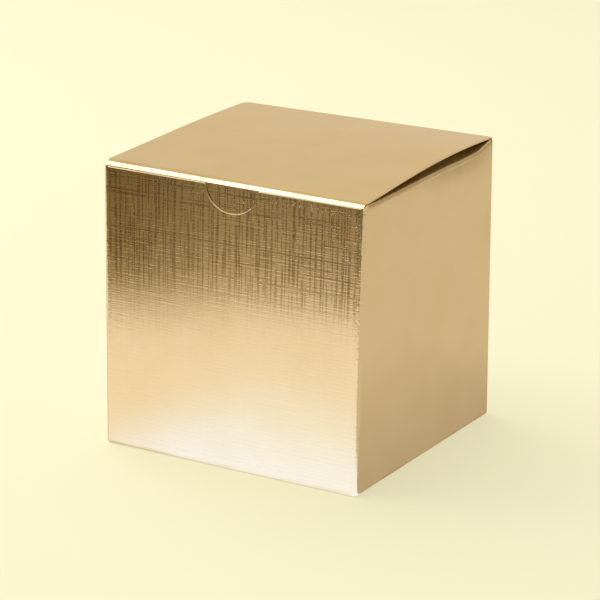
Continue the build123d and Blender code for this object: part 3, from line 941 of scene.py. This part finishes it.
# Glowing card: a sheet laid round the box that glows and that only the foil sees, so that it paints
# the light and shade of the foil's reflections. In front of the box it is white, whitest near the wall,
# and a warm brown beyond, which is deeper to the left. At the sides and back it is an even white,
# dimmer close to the box as a painted shadow of the box, and dimmer far off.
CARD_HEIGHT, CARD_REACH, CARD_GAIN = 0.0003, 5.5, 4.0
FRONT_SPAN = 0.50
MIRROR_TURN = 0.584
RIGHT_TURN, TURN_REACH = 0.54, 0.07
LEFT_TINT, LEFT_EDGE, LEFT_GAP = (0.62, 0.57, 0.445), (-0.06, 0.0), (0.085, 0.165)
WHITE_START, WHITE_END = (-0.075, -0.02), (0.06, 0.14)
SIDE_GAP, SIDE_TONES = (-0.01, 0.075), (0.71, 0.945)
FAR_REACH, FAR_TONE = (0.42, 0.57), 0.67
FRONT_START, FRONT_END = (-0.003, 0.0), (0.060, 0.100)
FRONT_STOPS = (
    (0.000, (1.38, 1.43, 1.55)),
    (0.108, (1.31, 1.36, 1.50)),
    (0.136, (1.25, 1.29, 1.40)),
    (0.158, (1.05, 1.07, 1.08)),
    (0.176, (0.81, 0.78, 0.72)),
    (0.196, (0.60, 0.56, 0.46)),
    (0.225, (0.50, 0.445, 0.33)),
    (0.270, (0.46, 0.40, 0.275)),
    (0.300, (0.39, 0.33, 0.22)),
    (0.340, (0.27, 0.22, 0.135)),
    (0.400, (0.19, 0.15, 0.085)),
    (0.500, (0.15, 0.115, 0.06)),
)
WHITE_STOPS = (
    (0.000, (0.07, 0.44, 1.65)),
    (0.030, (0.05, 0.36, 1.30)),
    (0.060, (0.03, 0.20, 0.60)),
    (0.110, (0.00, 0.02, 0.06)),
    (0.140, (0.00, 0.00, 0.00)),
)


def tone_along(tree, way, stops):
    """Colour ramp over a distance in front of the box, divided by the card's gain."""
    ramp_node = add_node(tree, "ValToRGB", {0: math_node(tree, "DIVIDE", way, FRONT_SPAN)})
    elements = ramp_node.color_ramp.elements
    for number, (reach, tone) in enumerate(stops):
        element = elements[number] if number < 2 else elements.new(reach / FRONT_SPAN)
        element.position = reach / FRONT_SPAN
        element.color = (*(part / CARD_GAIN for part in tone), 1.0)
    return ramp_node.outputs[0]


def tone_node(tree, operation, first, second):
    """Result of one step on two colours."""
    return add_node(tree, "VectorMath", {0: first, 1: second}, operation=operation).outputs[0]


def scaled(tree, tone, factor):
    """Colour times a number."""
    return add_node(tree, "VectorMath", {0: tone, "Scale": factor}, operation="SCALE").outputs[0]


def mixed_tone(tree, share, first, second):
    """Colour from first to second by a share."""
    part = scaled(tree, first, math_node(tree, "SUBTRACT", 1.0, share))
    return tone_node(tree, "ADD", part, scaled(tree, second, share))


card = ring_plane("glowing_card", CARD_REACH, CARD_HEIGHT)
card_light, tree, output = stage_finish("card_light")
card_spot = add_node(tree, "TexCoord").outputs["Object"]
apart = add_node(tree, "SeparateXYZ", {0: card_spot})
x_out, y_out = apart.outputs["X"], apart.outputs["Y"]
front_gap = math_node(tree, "SUBTRACT", front_low[1] * MM, y_out)
mirrored_x = math_node(tree, "MULTIPLY_ADD", front_gap, MIRROR_TURN, x_out)
turned = math_node(tree, "MINIMUM", math_node(tree, "MAXIMUM", mirrored_x, -TURN_REACH), TURN_REACH)
front_way = math_node(tree, "MULTIPLY_ADD", turned, -RIGHT_TURN, front_gap)
front_tone = tone_along(tree, front_way, FRONT_STOPS)
at_left = product(tree, eased(tree, mirrored_x, *LEFT_EDGE, 1.0, 0.0), eased(tree, front_gap, *LEFT_GAP))
front_tone = mixed_tone(tree, at_left, front_tone, tone_node(tree, "MULTIPLY", front_tone, LEFT_TINT))
white_share = product(tree, eased(tree, x_out, *WHITE_START), eased(tree, x_out, *WHITE_END, 1.0, 0.0))
white_tone = scaled(tree, tone_along(tree, front_gap, WHITE_STOPS), white_share)
front_tone = tone_node(tree, "ADD", front_tone, white_tone)

# Close to the box the card glows dimmer: a painted shadow of the box, seen in the foil.
side_gap = math_node(tree, "SUBTRACT", math_node(tree, "ABSOLUTE", x_out), right_high[0] * MM)
back_gap = math_node(tree, "SUBTRACT", y_out, back_high[1] * MM)
near_side = eased(tree, math_node(tree, "MAXIMUM", side_gap, back_gap), *SIDE_GAP, *SIDE_TONES)
from_middle = add_node(tree, "VectorMath", {0: card_spot}, operation="LENGTH").outputs[1]
near_side = product(tree, near_side, eased(tree, from_middle, *FAR_REACH, 1.0, FAR_TONE))
side_tone = add_node(tree, "CombineColor", {0: near_side, 1: near_side, 2: near_side}).outputs[0]
side_tone = scaled(tree, side_tone, 1 / CARD_GAIN)
in_front = product(tree, eased(tree, front_gap, *FRONT_START), eased(tree, x_out, *FRONT_END, 1.0, 0.0))
card_tone = mixed_tone(tree, in_front, side_tone, front_tone)
glow = add_node(tree, "Emission", {"Color": card_tone, "Strength": CARD_GAIN})
feed(tree, output, {"Surface": glow.outputs[0]})
card.data.materials.append(card_light)
card.visible_camera = card.visible_diffuse = card.visible_transmission = False
card.visible_volume_scatter = card.visible_shadow = False

# Studio light: a softbox overhead to the left lights the scene, and a tall strip light at the front left
# is what the rolled front of the lid mirrors as a white line. The room round them is white, and dimmer
# low down on the right.
ROOM_DIRECT, ROOM_DIFFUSE, ROOM_CORNER = 1.0, 0.3, 0.64
CORNER_RIGHT, CORNER_TOP = (-0.15, 0.2), (0.45, 0.65)


def turned_frame(right, up, back, spot):
    """Columns of a 4 by 4 matrix: the three axes, and the place."""
    return [[*right, 0.0], [*up, 0.0], [*back, 0.0], [*spot, 1.0]]


def area_lamp(name, spot, along, width, length, power, tint, mirrored_in_foil):
    """A flat lamp at a spot, facing the box's place, with its length as near to along as that allows."""
    lamp = bpy.data.lights.new(name, "AREA")
    lamp.shape = "RECTANGLE"
    lamp.size, lamp.size_y, lamp.energy, lamp.color = width, length, power, tint
    stand = set_up(name, lamp)
    away = np.array(spot) / np.linalg.norm(spot)
    sideways = np.cross(along, away) / np.linalg.norm(np.cross(along, away))
    stand.matrix_world = turned_frame(sideways, np.cross(away, sideways), away, spot)
    stand.visible_camera = False
    stand.visible_glossy = mirrored_in_foil
    stand.visible_diffuse = not mirrored_in_foil


area_lamp(
    "softbox", spot=(-0.50, 0.10, 1.00), along=(0.0, 1.0, 0.0), width=1.4, length=1.4,
    power=16.0, tint=(1.0, 1.0, 1.0), mirrored_in_foil=False,
)
area_lamp(
    "strip_light", spot=(-0.552, -0.876, 0.606), along=(0.0, 0.724, 0.690), width=0.5, length=1.5,
    power=9.6, tint=(0.80, 0.90, 1.0), mirrored_in_foil=True,
)

room = bpy.data.worlds.new("white_room")
room.use_nodes = True
bpy.context.scene.world = room
tree = room.node_tree
outlook = add_node(tree, "SeparateXYZ", {0: add_node(tree, "TexCoord").outputs["Generated"]}).outputs
to_right, low_down = eased(tree, outlook["X"], *CORNER_RIGHT), eased(tree, outlook["Z"], *CORNER_TOP, 1, 0)
low_right = product(tree, to_right, low_down)
direct = add_node(tree, "MapRange", {"Value": low_right, "To Min": ROOM_DIRECT, "To Max": ROOM_CORNER})
seen = {"Value": seen_directly(tree), "To Min": ROOM_DIFFUSE, "To Max": direct.outputs[0]}
strength = add_node(tree, "MapRange", seen)
feed(tree, tree.nodes["Background"], {"Color": (1.0, 1.0, 1.0, 1.0), "Strength": strength.outputs[0]})
bpy.context.scene.view_settings.view_transform = "Standard"

# Camera: a long lens from the front right and a little above, as in the photograph. It stands about a metre
# off and is rolled by less than half a degree.
LENS, SENSOR = 174.5, 36.0
AZIMUTH, ELEVATION, ROLL = np.radians((28.84, 17.97, 0.40))
DISTANCE = 1013.2 * MM
TARGET = np.array((-0.07, -0.56, 47.52)) * MM
level = np.array((np.cos(AZIMUTH), np.sin(AZIMUTH), 0.0))
sight = np.array((np.sin(AZIMUTH), -np.cos(AZIMUTH), 0.0))
toward = np.cos(ELEVATION) * sight + np.array((0.0, 0.0, np.sin(ELEVATION)))
rise = np.cross(toward, level)
camera_right = np.cos(ROLL) * level + np.sin(ROLL) * rise
camera_up = np.cos(ROLL) * rise - np.sin(ROLL) * level
camera_spot = TARGET + DISTANCE * toward
camera = bpy.data.cameras.new("camera")
camera.lens = LENS
camera.sensor_width = SENSOR
camera_stand = set_up("camera", camera)
camera_stand.matrix_world = turned_frame(camera_right, camera_up, toward, camera_spot)
bpy.context.scene.camera = camera_stand
